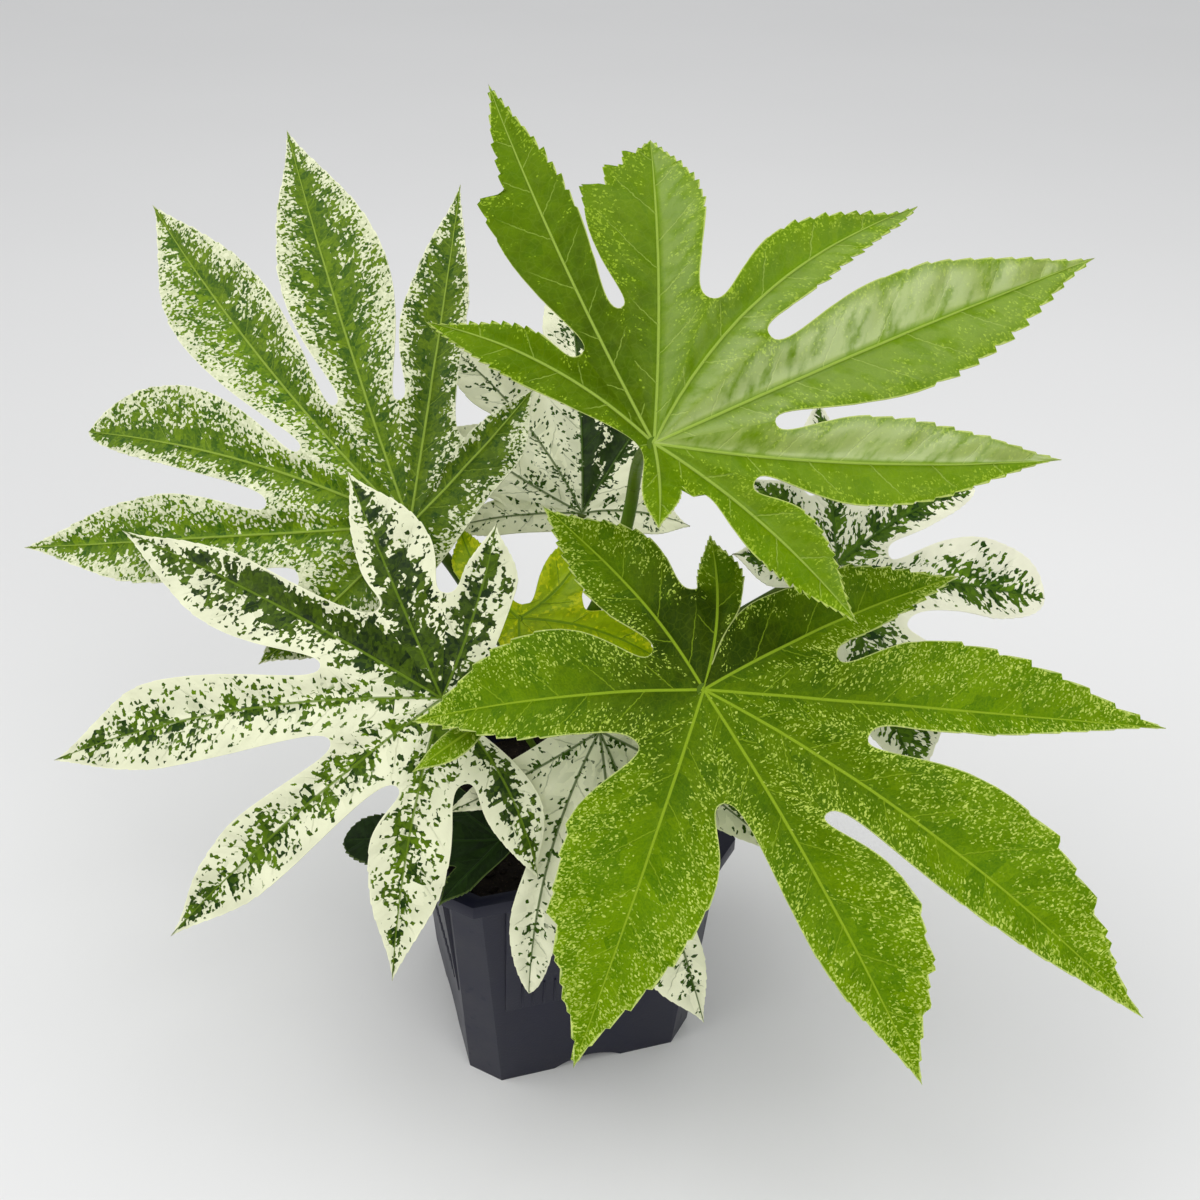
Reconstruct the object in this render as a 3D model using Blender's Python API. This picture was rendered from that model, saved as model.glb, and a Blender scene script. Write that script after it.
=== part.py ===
"""Variegated fatsia standing in a square nursery pot.

Every leaf is one solid: a lobed blade with a toothed edge, and its petiole. The short
stem stands in a plain hole in the potting soil, and the soil fills the pot. Lengths in
the leaf tables are millimetres, angles are degrees.

A leaf has its own axes. It faces (azimuth, elevation), its zero direction runs downhill
over the blade, and turns count anticlockwise for someone looking at the upper face.
"""
import math
from typing import NamedTuple

import bmesh
import bpy
from mathutils import Vector, noise

MM = 0.001
GAP = 0.3 * MM

# The pot
POT_TOP_WIDTH = 105 * MM
POT_BASE_WIDTH = 87 * MM
POT_HEIGHT = 100 * MM
POT_TOP_CHAMFER = 9 * MM
POT_BASE_CHAMFER = 10 * MM
POT_WALL = 1.6 * MM
POT_FLOOR = 2.0 * MM
RIM_OVERHANG = 3.0 * MM
RIM_SKIRT = 5.0 * MM
NOTCH_WIDTH = 26 * MM
NOTCH_HEIGHT = 4 * MM
NOTCH_DEPTH = 7 * MM
PAD_WIDTH = 64 * MM
PAD_PROUD = 3.0 * MM
PAD_FOOT_LEVEL = 0.4

# The soil and the stem
SOIL_LEVEL = 88 * MM
SOIL_BUMP = 1.6 * MM
SOIL_CELLS = 12
STEM_RADIUS = 5.5 * MM
STEM_TOP_RADIUS = 4.0 * MM
STEM_FOOT = 55 * MM
STEM_TOP = 158 * MM
STEM_SIDES = 14

# The blades
BLADE = 0.8 * MM
RIDGE = 0.06
TOOTH = 1.3 * MM
SINUS_ROUND = 6 * MM
NOTCH_REACH = 12 * MM
SLIT_HALF = 1.5 * MM
BASE_ROWS = 2
SHOULDER_ROWS = 3
TIP_ROWS = 6
PETIOLE_SIDES = 7
PETIOLE_STEPS = 9
PETIOLE_TOP = 0.6 * MM


class Lobe(NamedTuple):
    """One lobe of a blade and the sinus on its anticlockwise side."""

    turn: float
    reach: float
    left: float
    right: float
    sway: float
    sinus: tuple
    belly: float = 0.58
    lift: float = 0.0
    blunt: float = 0.0


class Leaf(NamedTuple):
    """One leaf: where its ribs meet, how it faces, its lobes and its petiole."""

    name: str
    joint: tuple
    facing: tuple
    droop: float
    colour: tuple
    foot_level: float
    thick: float
    lobes: tuple
    route: tuple = ()
    slit: bool = False


GREEN = (0.13, 0.27, 0.015)
CREAM = (0.62, 0.66, 0.42)
SPECKLED = (0.30, 0.40, 0.12)
YOUNG = (0.34, 0.42, 0.02)
SHADED = (0.02, 0.05, 0.01)

LEAVES = (
    Leaf("leaf_front_right", (23, -76, 193), (-28, 50), 1.0, GREEN, 117, 2.3, (
        Lobe(-174, 48, 6, 8, -3, (-167, 31), 0.70, 4),
        Lobe(-131, 75, 11, 15, -4, (-117, 19), 0.58, 11),
        Lobe(-77, 89, 12, 21, -2, (-42, 25), 0.50),
        Lobe(-11, 112, 21, 24, 1, (18, 34), 0.47),
        Lobe(37, 123, 21, 11, 2, (52, 50), 0.62),
        Lobe(62, 150, 22, 11, 5, (81, 49)),
        Lobe(95, 134, 20, 7, -1, (112, 40), 0.50),
        Lobe(124, 84, 15, 7, 2, (171, 8), 0.55),
    ), slit=True),
    Leaf("leaf_top", (13, -51, 262), (-25, 38), 1.0, GREEN, 153, 2.2, (
        Lobe(-173, 92, 17, 14, -2, (-161, 40), 0.74, 0, 0.35),
        Lobe(-150, 126, 13, 10, 2, (-136, 33)),
        Lobe(-114, 77, 8, 7, -5, (-60, 4)),
        Lobe(9, 24, 6, 5, 1, (43, 19), 0.55),
        Lobe(54, 75, 10, 8, 3, (74, 30)),
        Lobe(94, 113, 13, 12, -4, (105, 34), 0.52),
        Lobe(120, 137, 17, 17, 0, (138, 44), 0.56),
        Lobe(139, 102, 12, 8, 10, (165, 44), 0.62),
    ), route=((30, -14, 219), (23, 13, 223))),
    Leaf("leaf_upper_left", (-45, 28, 201), (-24, 42), 0.6, SPECKLED, 134, 2.3, (
        Lobe(-155, 164, 17, 22, 1, (-142, 50), 0.58),
        Lobe(-135, 164, 19, 17, 4, (-119, 47), 0.65),
        Lobe(-102, 125, 8, 21, -5, (-93, 50), 0.72, 0, 0.7),
        Lobe(-83, 141, 15, 16, 1, (-61, 41), 0.62),
        Lobe(-38, 62, 13, 12, 2, (10, 22), 0.62),
        Lobe(145, 63, 7, 13, -1, (155, 35), 0.60),
        Lobe(180, 128, 14, 9, -1, (-168, 44), 0.56),
    )),
    Leaf("leaf_front_left", (-46, -27, 168), (-22, 41), 1.4, CREAM, 126, 2.2, (
        Lobe(-151, 85, 8, 17, 0, (-138, 36), 0.58),
        Lobe(-113, 129, 16, 9, -2, (-100, 41), 0.62, 6),
        Lobe(-78, 139, 14, 15, -6, (-65, 38), 0.68),
        Lobe(-46, 119, 12, 12, -2, (-23, 31), 0.66),
        Lobe(-6, 90, 14, 12, -2, (20, 28), 0.55),
        Lobe(33, 64, 8, 10, 5, (70, 8), 0.64),
        Lobe(169, 60, 7, 11, -2, (-177, 34), 0.66),
    )),
    Leaf("leaf_back", (18, 37, 192), (-10, 55), 0.5, CREAM, 141, 2.1, (
        Lobe(-148, 94, 11, 14, -5, (-142, 45), 0.66),
        Lobe(-130, 60, 7, 13, 2, (-106, 38), 0.66),
        Lobe(-86, 50, 7, 7, -2, (28, 6)),
        Lobe(81, 39, 8, 8, 3, (121, 30)),
        Lobe(145, 91, 12, 12, 1, (164, 62), 0.66),
        Lobe(179, 115, 12, 14, -2, (-168, 56), 0.68),
    )),
    Leaf("leaf_right", (83, -35, 203), (0, 48), 0.8, CREAM, 127, 2.1, (
        Lobe(-146, 41, 7, 9, -1, (-124, 19)),
        Lobe(-104, 35, 10, 7, 0, (-38, 9), 0.60),
        Lobe(9, 76, 24, 12, -2, (41, 29), 0.54),
        Lobe(74, 75, 17, 10, 0, (91, 18), 0.68, 0, 0.9),
        Lobe(110, 61, 8, 7, 3, (154, 22), 0.60, 0, 0.7),
        Lobe(171, 60, 9, 6, 0, (-173, 24), 0.64),
    )),
    Leaf("leaf_young_centre", (-15, -3, 178), (-17, 45), 0.8, YOUNG, 146, 1.5, (
        Lobe(-146, 38, 7, 6, 3, (-50, 10), 0.66),
        Lobe(3, 28, 7, 6, 0, (52, 17)),
        Lobe(74, 52, 8, 7, 4, (103, 22)),
        Lobe(144, 41, 9, 7, -4, (170, 5), 0.56),
    )),
    Leaf("leaf_low_front", (1, -45, 159), (-15, 38), 1.0, CREAM, 99, 1.9, (
        Lobe(-62, 56, 6, 6, 1, (-40, 30)),
        Lobe(-15, 86, 8, 8, -5, (-7, 22), 0.70),
        Lobe(5, 81, 8, 8, 1, (15, 34)),
        Lobe(20, 99, 6, 14, 2, (42, 40), 0.76),
        Lobe(56, 70, 9, 8, 3, (150, 9)),
    )),
    Leaf("leaf_low_left", (-30, -37, 113), (-60, 72), 1.0, SHADED, 97, 1.6, (
        Lobe(-92, 52, 5, 6, 0, (-77, 30)),
        Lobe(-58, 59, 10, 11, 1, (-28, 21), 0.68, 0, 0.8),
        Lobe(0, 30, 5, 5, 0, (130, 5)),
    )),
    Leaf("leaf_young_narrow", (-32, -46, 174), (-30, 50), 1.0, YOUNG, 107, 1.2, (
        Lobe(-98, 14, 3, 3, 0, (-72, 5)),
        Lobe(-45, 32, 5, 4, 0, (20, 3), 0.50),
        Lobe(120, 20, 4, 4, 0, (-170, 3)),
    )),
)


def clear_scene():
    """Removes every object that the file holds."""
    for item in list(bpy.data.objects):
        bpy.data.objects.remove(item, do_unlink=True)


def material(name, colour, roughness, metallic=0.0):
    """Makes one Principled material."""
    made = bpy.data.materials.new(name)
    made.use_nodes = True
    shader = made.node_tree.nodes["Principled BSDF"]
    shader.inputs["Base Color"].default_value = (*colour, 1.0)
    shader.inputs["Roughness"].default_value = roughness
    shader.inputs["Metallic"].default_value = metallic
    return made


def new_object(name, bm, finish=None):
    """Turns a bmesh into a named object."""
    bmesh.ops.recalc_face_normals(bm, faces=bm.faces[:])
    mesh = bpy.data.meshes.new(name)
    bm.to_mesh(mesh)
    bm.free()
    made = bpy.data.objects.new(name, mesh)
    bpy.context.collection.objects.link(made)
    if finish:
        mesh.materials.append(finish)
    return made


def as_cutter(made):
    """Marks an object as a guide that is no part of the model."""
    made.hide_render = True
    made.display_type = "WIRE"
    return made


def combine(target, other, operation):
    """Adds one exact Boolean to an object."""
    step = target.modifiers.new(f"{operation.lower()} {other.name}", "BOOLEAN")
    step.operation = operation
    step.solver = "EXACT"
    step.object = other


def bezier(points, t):
    """Reads a cubic curve at t."""
    a, b, c, d = points
    s = 1.0 - t
    return a * (s * s * s) + b * (3 * s * s * t) + c * (3 * s * t * t) + d * (t * t * t)


def polar(turn, reach):
    """Turns an angle in degrees and a length in millimetres into a plane point."""
    angle = math.radians(turn)
    return Vector((math.cos(angle), math.sin(angle))) * reach * MM


def leaf_axes(facing):
    """Gives the downhill, sideways and outward directions of a leaf."""
    azimuth, elevation = (math.radians(value) for value in facing)
    out = Vector((math.sin(azimuth) * math.cos(elevation),
                  -math.cos(azimuth) * math.cos(elevation), math.sin(elevation)))
    down = Vector((0, 0, -1))
    down = (down - out * down.dot(out)).normalized()
    return down, out.cross(down), out


class Side:
    """One edge of a lobe, from the junction along the sinus and on to the tip."""

    def __init__(self, lobe, sinus, hand, slit):
        self.along = polar(lobe.turn, 1.0).normalized()
        self.across = Vector((-self.along.y, self.along.x)) * hand
        self.reach = lobe.reach * MM
        self.half = (lobe.left if hand > 0 else lobe.right) * MM
        self.sinus = polar(*sinus)
        self.sinus_reach = sinus[1] * MM
        tip = self.along * self.reach
        belly = self.along * (self.reach * lobe.belly) + self.across * self.half
        belly += self.across * (hand * lobe.sway * MM * 4 * lobe.belly * (1 - lobe.belly))
        start = self.sinus.normalized()
        inward = Vector((start.y, -start.x)) * hand
        first = (belly - self.sinus).length
        last = (tip - belly).length
        if slit and self.sinus_reach < NOTCH_REACH:
            leave = start * (0.55 * first) + inward * SLIT_HALF
        else:
            leave = inward * min(SINUS_ROUND, 0.35 * first)
        self.lower = (self.sinus, self.sinus + leave, belly - self.along * (0.5 * first), belly)
        point = tip - self.along * (last * (0.30 - 0.25 * lobe.blunt))
        point += self.across * self.half * (0.10 + 0.75 * lobe.blunt)
        self.upper = (belly, belly + self.along * (0.42 * last), point, tip)

    def read(self, row):
        """Gives the edge's plane point on a row."""
        if row <= BASE_ROWS:
            return self.sinus * (row / BASE_ROWS)
        row -= BASE_ROWS
        if row <= SHOULDER_ROWS:
            return bezier(self.lower, row / SHOULDER_ROWS)
        row -= SHOULDER_ROWS
        point = bezier(self.upper, row / TIP_ROWS)
        if row % 2 == 1:
            point = point + self.across * TOOTH * (1.0 - 0.6 * row / TIP_ROWS)
        return point


class LobeShape:
    """Places the points of one lobe on the drooping blade."""

    def __init__(self, leaf, lobe, right_sinus):
        self.lobe = lobe
        self.droop = leaf.droop
        self.left = Side(lobe, lobe.sinus, 1, leaf.slit)
        self.right = Side(lobe, right_sinus, -1, leaf.slit)
        mean = (self.left.sinus + self.right.sinus) * 0.5
        self.shoulder = max(mean.dot(self.left.along), 0.12 * self.left.reach)
        self.rows = BASE_ROWS + SHOULDER_ROWS + TIP_ROWS

    def rib(self, row):
        """Gives the midrib's plane point on a row."""
        reach = self.left.reach
        belly = reach * self.lobe.belly
        if row <= BASE_ROWS:
            along = self.shoulder * row / BASE_ROWS
        elif row <= BASE_ROWS + SHOULDER_ROWS:
            along = self.shoulder + (belly - self.shoulder) * (row - BASE_ROWS) / SHOULDER_ROWS
        else:
            along = belly + (reach - belly) * (row - BASE_ROWS - SHOULDER_ROWS) / TIP_ROWS
        part = along / reach
        sway = self.lobe.sway * MM * 4 * part * (1 - part)
        return self.left.along * along + self.left.across * sway

    def point(self, column, row):
        """Gives a point in leaf axes; the column runs from -1 on the right to 1 on the left."""
        side = self.left if column > 0 else self.right
        plane = self.rib(row).lerp(side.read(row), abs(column))
        past = max(0.0, (row - BASE_ROWS) / (self.rows - BASE_ROWS))
        height = -self.droop * plane.length_squared + self.lobe.lift * MM * past * past
        if row <= BASE_ROWS:
            height += RIDGE * plane.length * abs(column)
        else:
            height += RIDGE * side.sinus_reach * (1.0 - past) * abs(column)
        return Vector((plane.x, plane.y, height))


def add_lobe(bm, shape):
    """Lays one lobe's grid on its blade."""
    made = bmesh.ops.create_grid(bm, x_segments=2, y_segments=shape.rows, size=1.0)
    for vertex in made["verts"]:
        row = round((vertex.co.y + 1.0) * 0.5 * shape.rows)
        vertex.co = shape.point(round(vertex.co.x), row)


def blade_mesh(leaf):
    """Builds the whole blade as one closed sheet in the scene's axes."""
    bm = bmesh.new()
    for index, lobe in enumerate(leaf.lobes):
        add_lobe(bm, LobeShape(leaf, lobe, leaf.lobes[index - 1].sinus))
    bmesh.ops.remove_doubles(bm, verts=bm.verts[:], dist=0.05 * MM)
    bmesh.ops.triangulate(bm, faces=bm.faces[:])
    grown = bmesh.ops.extrude_face_region(bm, geom=bm.faces[:])
    moved = [item for item in grown["geom"] if isinstance(item, bmesh.types.BMVert)]
    bmesh.ops.translate(bm, verts=moved, vec=(0, 0, BLADE))
    down, side, out = leaf_axes(leaf.facing)
    joint = Vector(leaf.joint) * MM
    for vertex in bm.verts:
        local = vertex.co.copy()
        vertex.co = joint + down * local.x + side * local.y + out * local.z
    return bm


def petiole_path(leaf):
    """Gives the petiole's points and radii from the stem's axis to the blade."""
    out = leaf_axes(leaf.facing)[2]
    joint = Vector(leaf.joint) * MM
    foot = Vector((0, 0, leaf.foot_level * MM))
    away = Vector((joint.x, joint.y, 0)).normalized()
    span = (joint - foot).length
    leave = foot + (away * 0.75 + Vector((0, 0, 0.65))).normalized() * span * 0.35
    arrive = joint - (out * 0.8 + away * 0.3).normalized() * span * 0.35
    if leaf.route:
        leave, arrive = (Vector(control) * MM for control in leaf.route)
    end = joint + out * (BLADE + PETIOLE_TOP)
    points = []
    for step in range(PETIOLE_STEPS + 1):
        part = step / PETIOLE_STEPS
        radius = leaf.thick * MM * (1.25 - 0.25 * min(1.0, 2 * part))
        points.append((bezier((foot, leave, arrive, end), part), radius))
    return points


def tube(name, points, sides):
    """Makes a closed tapering tube along points."""
    bm = bmesh.new()
    ring = None
    heading = (points[1][0] - points[0][0]).normalized()
    across = heading.orthogonal().normalized()
    for index, (place, radius) in enumerate(points):
        before = points[max(index - 1, 0)][0]
        after = points[min(index + 1, len(points) - 1)][0]
        heading = (after - before).normalized()
        across = (across - heading * across.dot(heading)).normalized()
        third = heading.cross(across)
        new = []
        for side in range(sides):
            angle = 2 * math.pi * side / sides
            new.append(bm.verts.new(place + (across * math.cos(angle) + third * math.sin(angle)) * radius))
        if ring:
            for side in range(sides):
                bm.faces.new((ring[side], ring[side - 1], new[side - 1], new[side]))
        else:
            bm.faces.new(new)
        ring = new
    bm.faces.new(ring)
    return new_object(name, bm)


def stem_radius(level):
    """Gives the stem's radius at a height."""
    part = (level - STEM_FOOT) / (STEM_TOP - STEM_FOOT)
    return STEM_RADIUS + (STEM_TOP_RADIUS - STEM_RADIUS) * part


def stem_column(name, extra, finish=None):
    """Makes the tapering stem with a domed bud, or a column that clears it."""
    levels = [(STEM_FOOT - extra, stem_radius(STEM_FOOT) + extra),
              (STEM_TOP, stem_radius(STEM_TOP) + extra),
              (STEM_TOP + 5 * MM, STEM_TOP_RADIUS * 0.72 + extra),
              (STEM_TOP + 8 * MM + extra, STEM_TOP_RADIUS * 0.25 + extra)]
    made = tube(name, [(Vector((0, 0, level)), radius) for level, radius in levels], STEM_SIDES)
    if finish:
        made.data.materials.append(finish)
    return made


def build_leaf(leaf, clearance):
    """Builds one leaf: its blade joined to its petiole, clear of the stem."""
    finish = material(f"{leaf.name} surface", leaf.colour, 0.45)
    made = new_object(leaf.name, blade_mesh(leaf), finish)
    petiole = as_cutter(tube(f"{leaf.name} petiole guide", petiole_path(leaf), PETIOLE_SIDES))
    combine(made, petiole, "UNION")
    combine(made, clearance, "DIFFERENCE")
    return made


def octagon(width, chamfer, level):
    """Gives the corners of a square with cut corners, anticlockwise."""
    half = width / 2
    inner = half - chamfer
    corners = ((half, -inner), (half, inner), (inner, half), (-inner, half),
               (-half, inner), (-half, -inner), (-inner, -half), (inner, -half))
    return [Vector((x, y, level)) for x, y in corners]


def stacked(rings):
    """Joins rings of equal count into one closed skin."""
    bm = bmesh.new()
    loops = [[bm.verts.new(point) for point in ring] for ring in rings]
    count = len(rings[0])
    for lower, upper in zip(loops, loops[1:]):
        for index in range(count):
            bm.faces.new((lower[index - 1], lower[index], upper[index], upper[index - 1]))
    bm.faces.new(loops[0])
    bm.faces.new(loops[-1])
    return bm


def wall_width(level):
    """Gives the pot's outer width at a height."""
    return POT_BASE_WIDTH + (POT_TOP_WIDTH - 2 * RIM_OVERHANG - POT_BASE_WIDTH) * level / POT_HEIGHT


def wall_chamfer(level):
    """Gives the pot's corner cut at a height."""
    return POT_BASE_CHAMFER + (POT_TOP_CHAMFER - POT_BASE_CHAMFER) * level / POT_HEIGHT


def pot_ring(level, inset):
    """Gives the pot's outline at a height, moved in by the inset."""
    cut = wall_chamfer(level) - inset * (2 - math.sqrt(2))
    return octagon(wall_width(level) - 2 * inset, cut, level)


def pot_skin():
    """Builds the tapering wall, the floor and the overhanging rim as one skin."""
    rim = POT_TOP_WIDTH
    skirt = POT_HEIGHT - RIM_SKIRT
    rings = [pot_ring(0, 0), pot_ring(skirt, 0),
             octagon(rim, POT_TOP_CHAMFER, skirt), octagon(rim, POT_TOP_CHAMFER, POT_HEIGHT),
             pot_ring(POT_HEIGHT, POT_WALL), pot_ring(POT_FLOOR, POT_WALL)]
    return stacked(rings)


def wedge_pad(index):
    """Makes the shallow wedge under the rim in the middle of one side."""
    top = POT_HEIGHT - RIM_SKIRT
    low = POT_HEIGHT * PAD_FOOT_LEVEL
    upper = wall_width(top) / 2
    lower = wall_width(low) / 2
    bury = POT_WALL * 0.5
    half = PAD_WIDTH / 2
    outline = ((upper - bury, top + 1 * MM), (upper + PAD_PROUD * 0.8, top + 1 * MM),
               (lower + 0.4 * MM, low), (lower - bury, low))
    bm = bmesh.new()
    face = bm.faces.new([bm.verts.new((-half, -y, z)) for y, z in outline])
    grown = bmesh.ops.extrude_face_region(bm, geom=[face])
    moved = [item for item in grown["geom"] if isinstance(item, bmesh.types.BMVert)]
    bmesh.ops.translate(bm, verts=moved, vec=(2 * half, 0, 0))
    made = as_cutter(new_object(f"pad guide {index}", bm))
    made.rotation_euler.z = math.radians(90 * index)
    return made


def notch_cutter(index):
    """Makes the round cutter of the drain notch in one side's foot."""
    radius = (NOTCH_WIDTH ** 2 / 4 + NOTCH_HEIGHT ** 2) / (2 * NOTCH_HEIGHT)
    bm = bmesh.new()
    bmesh.ops.create_cone(bm, cap_ends=True, segments=64, radius1=radius, radius2=radius,
                          depth=2 * NOTCH_DEPTH)
    bmesh.ops.rotate(bm, verts=bm.verts[:], matrix=Vector((0, 0, 1)).rotation_difference(
        Vector((0, 1, 0))).to_matrix())
    bmesh.ops.translate(bm, verts=bm.verts[:],
                        vec=(0, -POT_BASE_WIDTH / 2, NOTCH_HEIGHT - radius))
    made = as_cutter(new_object(f"notch guide {index}", bm))
    made.rotation_euler.z = math.radians(90 * index)
    return made


def build_pot():
    """Builds the square pot with its rim, side pads and drain notches."""
    finish = material("pot plastic", (0.028, 0.030, 0.045), 0.42)
    pot = new_object("pot", pot_skin(), finish)
    for index in range(4):
        combine(pot, wedge_pad(index), "UNION")
    for index in range(4):
        combine(pot, notch_cutter(index), "DIFFERENCE")
    return pot


def build_soil(clearance):
    """Builds the soil with its crumbly top and the plain hole for the stem."""
    finish = material("potting soil", (0.022, 0.016, 0.012), 0.95)
    inset = POT_WALL + GAP
    rings = [pot_ring(POT_FLOOR + GAP, inset), pot_ring(SOIL_LEVEL, inset)]
    bm = stacked(rings)
    top = [face for face in bm.faces if all(v.co.z > SOIL_LEVEL - MM for v in face.verts)]
    bmesh.ops.delete(bm, geom=top, context="FACES_ONLY")
    loop = [edge for edge in bm.edges if edge.is_boundary]
    bmesh.ops.subdivide_edges(bm, edges=loop, cuts=3)
    loop = [edge for edge in bm.edges if edge.is_boundary]
    for part in (0.8, 0.6, 0.4, 0.2):
        grown = bmesh.ops.extrude_edge_only(bm, edges=loop)
        ring = [item for item in grown["geom"] if isinstance(item, bmesh.types.BMVert)]
        for vertex in ring:
            scale = part / (part + 0.2)
            vertex.co.x *= scale
            vertex.co.y *= scale
            vertex.co.z = SOIL_LEVEL + SOIL_BUMP * noise.noise(vertex.co * 140.0)
        loop = [item for item in grown["geom"] if isinstance(item, bmesh.types.BMEdge)]
    bmesh.ops.contextual_create(bm, geom=loop)
    bmesh.ops.triangulate(bm, faces=[face for face in bm.faces if len(face.verts) > 3])
    soil = new_object("soil", bm, finish)
    combine(soil, clearance, "DIFFERENCE")
    return soil


def build_plant():
    """Builds the pot, the soil, the stem and every leaf."""
    clear_scene()
    clearance = as_cutter(stem_column("stem clearance guide", GAP))
    build_pot()
    build_soil(clearance)
    stem_column("stem", 0.0, material("stem bark", (0.16, 0.19, 0.05), 0.6))
    for leaf in LEAVES:
        build_leaf(leaf, clearance)


build_plant()
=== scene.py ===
"""Looks of a variegated fatsia in a square nursery pot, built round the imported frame.

Every leaf is one piece: a thin lobed blade with raised ribs, quilted halves and forward
pointing teeth, and its petiole. A blade has its own plane: its zero direction runs downhill,
turns count anticlockwise for someone looking at the upper face. Sizes in the leaf tables are
millimetres and angles are degrees, as they are in the part's own tables.
"""
import logging
import math
import random
from collections.abc import Callable
from dataclasses import dataclass
from enum import Enum

import bmesh
import bpy
from mathutils import Matrix, Vector, noise

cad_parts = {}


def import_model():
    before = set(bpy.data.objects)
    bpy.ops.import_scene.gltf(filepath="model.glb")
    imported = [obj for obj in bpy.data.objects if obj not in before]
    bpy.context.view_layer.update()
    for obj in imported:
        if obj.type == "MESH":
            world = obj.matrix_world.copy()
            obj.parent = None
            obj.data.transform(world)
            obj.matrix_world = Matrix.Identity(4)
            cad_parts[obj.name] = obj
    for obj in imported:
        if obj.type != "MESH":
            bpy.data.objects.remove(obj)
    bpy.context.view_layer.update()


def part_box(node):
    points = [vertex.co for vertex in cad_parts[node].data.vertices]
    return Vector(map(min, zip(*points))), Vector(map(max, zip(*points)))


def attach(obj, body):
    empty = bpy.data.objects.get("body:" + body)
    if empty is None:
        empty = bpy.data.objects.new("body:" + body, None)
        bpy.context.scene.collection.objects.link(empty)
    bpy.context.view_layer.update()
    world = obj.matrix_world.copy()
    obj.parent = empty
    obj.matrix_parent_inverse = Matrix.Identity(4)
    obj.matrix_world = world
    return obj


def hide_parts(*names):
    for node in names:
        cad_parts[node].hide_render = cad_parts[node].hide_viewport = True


MM = 0.001
BODY = "root"
LOG = logging.getLogger("fatsia")

# Rows run from the junction to the tip, and shares across one half of a lobe from rib to edge.
BASE_ROWS = 6
SHOULDER_ROWS = 14
TIP_ROWS = 55
HALF_SHARES = (0.0, 0.03, 0.07, 0.14, 0.25, 0.38, 0.52, 0.66, 0.79, 0.89, 0.96, 1.0)
FIRST_TOOTH_ROW = 11

WELD = 0.001 * MM
BLADE = 0.6 * MM
RIDGE = 0.06
SINUS_ROUND = 6 * MM
NOTCH_REACH = 12 * MM
SLIT_HALF = 0.3 * MM
VEIN_SPACING = 17.0
VEIN_SLOPE = 0.95
WAVE_LENGTH = 27 * MM
QUILT = 0.55 * MM
PUCKER = 0.6 * MM
PUCKER_SCALE = 65

# Handles of an edge's two curves, as shares of a stretch: at the sinus, before and after the belly,
# and at the tip, where the second number of a pair is for a blunt one.
SINUS_HANDLE = 0.35
SLIT_HANDLE = 0.55
BELLY_HANDLES = (0.5, 0.42)
TIP_BACK = (0.24, -0.20)
TIP_SIDE = (0.15, 0.70)

# Teeth stop before the tip, and a lobe shorter than the full reach in millimetres has smaller ones.
TEETH_END = 0.95
FULL_TEETH_REACH = 90
WOBBLE = 1.1
SPUR_FRONT = 0.12

Colour = tuple[float, float, float]
Place = tuple[float, float, float]


def paint(red: float, green: float, blue: float) -> Colour:
    """Turns screen values up to 255 into the linear colour of a shader."""
    shares = (red / 255, green / 255, blue / 255)
    return tuple(s / 12.92 if s <= 0.04045 else ((s + 0.055) / 1.055) ** 2.4 for s in shares)


class Wire:
    """A shader socket that can stand in sums."""

    def __init__(self, graph: "Graph", socket: bpy.types.NodeSocket) -> None:
        """Keeps the socket and the graph that it is in."""
        self.graph = graph
        self.socket = socket

    def _math(self, operation: str, *values: "Wire | float") -> "Wire":
        """Adds one Math node with these values in its sockets."""
        return self.graph.node("ShaderNodeMath", {"operation": operation}, dict(enumerate(values)))

    def __add__(self, other: "Wire | float") -> "Wire":
        """Adds."""
        return self._math("ADD", self, other)

    __radd__ = __add__

    def __sub__(self, other: "Wire | float") -> "Wire":
        """Subtracts."""
        return self._math("SUBTRACT", self, other)

    def __rsub__(self, other: "Wire | float") -> "Wire":
        """Subtracts this from a number."""
        return self._math("SUBTRACT", other, self)

    def __mul__(self, other: "Wire | float") -> "Wire":
        """Multiplies."""
        return self._math("MULTIPLY", self, other)

    def __truediv__(self, other: "Wire | float") -> "Wire":
        """Divides."""
        return self._math("DIVIDE", self, other)

    def __abs__(self) -> "Wire":
        """Drops the sign."""
        return self._math("ABSOLUTE", self)

    def part(self) -> "Wire":
        """Keeps what is past the whole number."""
        return self._math("FRACT", self)

    def most(self, other: "Wire | float") -> "Wire":
        """Keeps the higher of two."""
        return self._math("MAXIMUM", self, other)

    def above(self, level: "Wire | float") -> "Wire":
        """Gives 1 where this is above the level, and 0 elsewhere."""
        return self._math("GREATER_THAN", self, level)

    def rise(self, low: "Wire | float", high: "Wire | float") -> "Wire":
        """Climbs smoothly from 0 at low to 1 at high, held at its ends."""
        sockets = {"Value": self, "From Min": low, "From Max": high}
        return self.graph.node("ShaderNodeMapRange", {"interpolation_type": "SMOOTHSTEP"}, sockets)


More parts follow.
